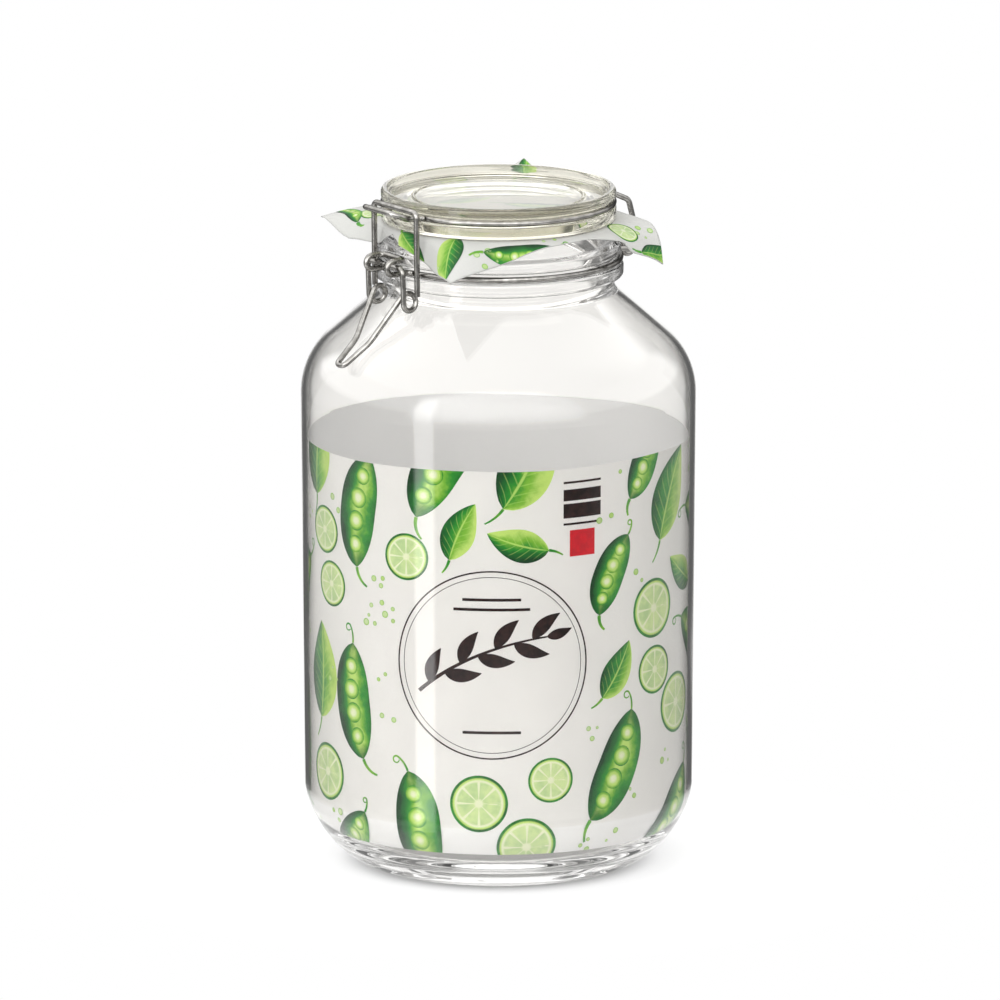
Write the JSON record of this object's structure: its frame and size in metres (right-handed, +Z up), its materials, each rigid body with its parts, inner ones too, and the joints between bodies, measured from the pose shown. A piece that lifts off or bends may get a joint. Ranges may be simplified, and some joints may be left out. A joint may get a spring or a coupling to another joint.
{
  "type": "swing-top canning jar",
  "caption": "Tall round glass storage jar with a wide mouth, a hinged glass lid, a sprung wire clamp, a printed paper sleeve inside and a square of printed paper under the lid.",
  "frame": {"origin": "middle of the jar's base on the jar's axis, on the surface it stands on", "axes": "+Z up along the jar's axis, the closure's lever faces -Y, the lid's hinge is at +Y, every pivot line is along X"},
  "size_m": [0.178, 0.178, 0.3086],
  "materials": {
    "jar_glass": "clear, smooth and fire-polished",
    "lid_glass": "clear pressed glass, faintly grey-green in its thick edge",
    "wire": "bright drawn stainless wire",
    "printed_paper": null
  },
  "bodies": {
    "root": {"jar_glass": "jar_glass", "neck_wire": "wire", "paper_sleeve": "printed_paper"},
    "lid": {"lid_glass": "lid_glass", "lid_wire": "wire", "paper_square": "printed_paper"},
    "hasp": {"hasp": "wire"},
    "lever": {"lever": "wire"}
  },
  "joints": [
    {"name": "lid_hinge", "type": "hinge", "parent": "root", "child": "lid", "pos_m": [0, 0.062, 0.276], "axis": [-1, 0, 0], "range_deg": [0, 110]},
    {"name": "hasp_swing", "type": "hinge", "parent": "lid", "child": "hasp", "pos_m": [0, -0.0564, 0.3056], "axis": [-1, 0, 0], "range_deg": [0, 60]},
    {"name": "lever_throw", "type": "hinge", "parent": "root", "child": "lever", "pos_m": [0, -0.0618, 0.2801], "axis": [-1, 0, 0], "range_deg": [0, 110]}
  ]
}
